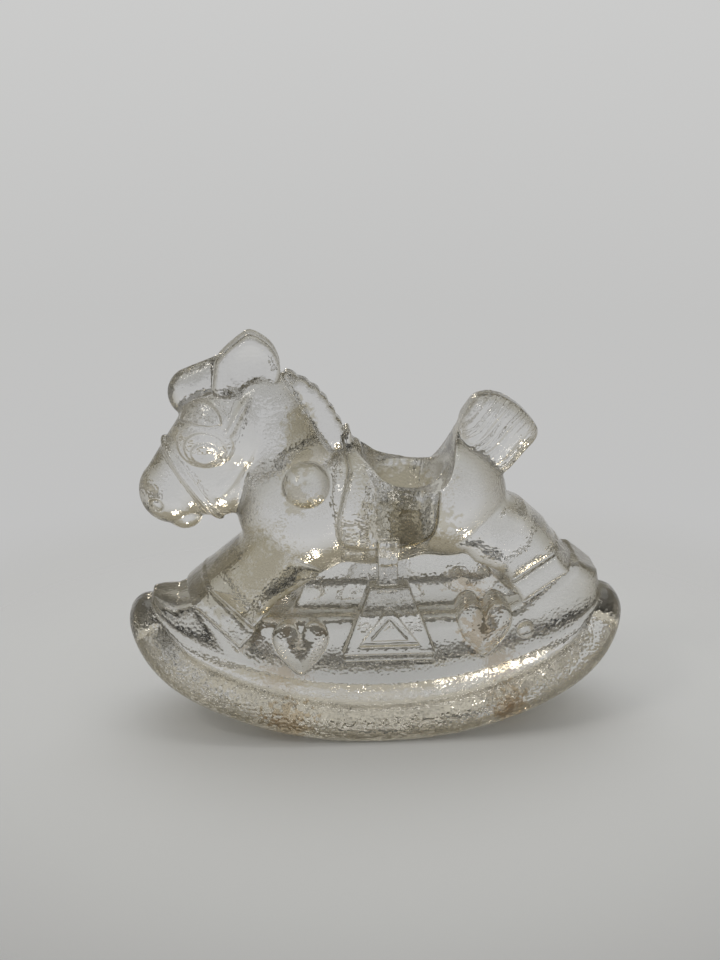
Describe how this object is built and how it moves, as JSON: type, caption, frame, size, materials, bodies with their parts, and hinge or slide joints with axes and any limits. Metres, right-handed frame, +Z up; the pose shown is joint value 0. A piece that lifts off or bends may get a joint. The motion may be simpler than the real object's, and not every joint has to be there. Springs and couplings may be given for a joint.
{
  "type": "glass rocking horse figurine",
  "caption": "Clear pressed-glass rocking horse on joined round rockers, with an open tapered well in its saddle for a candle or small items.",
  "frame": {"origin": "on the floor plane under the middle of the rockers", "axes": "+Z up; the horse faces -X; the middle plane is Y = 0, and the side at -Y is called near"},
  "size_m": [0.1228, 0.0424, 0.0981],
  "materials": {
    "clear_glass": "fire-polished pressed glass with fine ripples"
  },
  "bodies": {
    "root": {"saddle_cup": "clear_glass", "torso": "clear_glass", "noseband": "clear_glass", "head": "clear_glass", "muzzle": "clear_glass", "lower_lip": "clear_glass", "neck": "clear_glass", "near_front_leg": "clear_glass", "far_front_leg": "clear_glass", "near_hind_leg": "clear_glass", "far_hind_leg": "clear_glass", "near_front_hoof": "clear_glass", "far_front_hoof": "clear_glass", "near_hind_hoof": "clear_glass", "far_hind_hoof": "clear_glass", "near_rocker_rail": "clear_glass", "far_rocker_rail": "clear_glass", "base_hull": "clear_glass", "saddle": "clear_glass", "pommel": "clear_glass", "near_stirrup": "clear_glass", "far_stirrup": "clear_glass", "near_stirrup_strap": "clear_glass", "far_stirrup_strap": "clear_glass", "near_front_heart": "clear_glass", "far_front_heart": "clear_glass", "near_rear_heart": "clear_glass", "far_rear_heart": "clear_glass", "near_ball": "clear_glass", "far_ball": "clear_glass", "near_ear": "clear_glass", "far_ear": "clear_glass", "forelock": "clear_glass", "near_eye": "clear_glass", "far_eye": "clear_glass", "near_brow": "clear_glass", "far_brow": "clear_glass", "mane": "clear_glass", "near_handle_knob": "clear_glass", "far_handle_knob": "clear_glass", "tail": "clear_glass"}
  },
  "joints": []
}
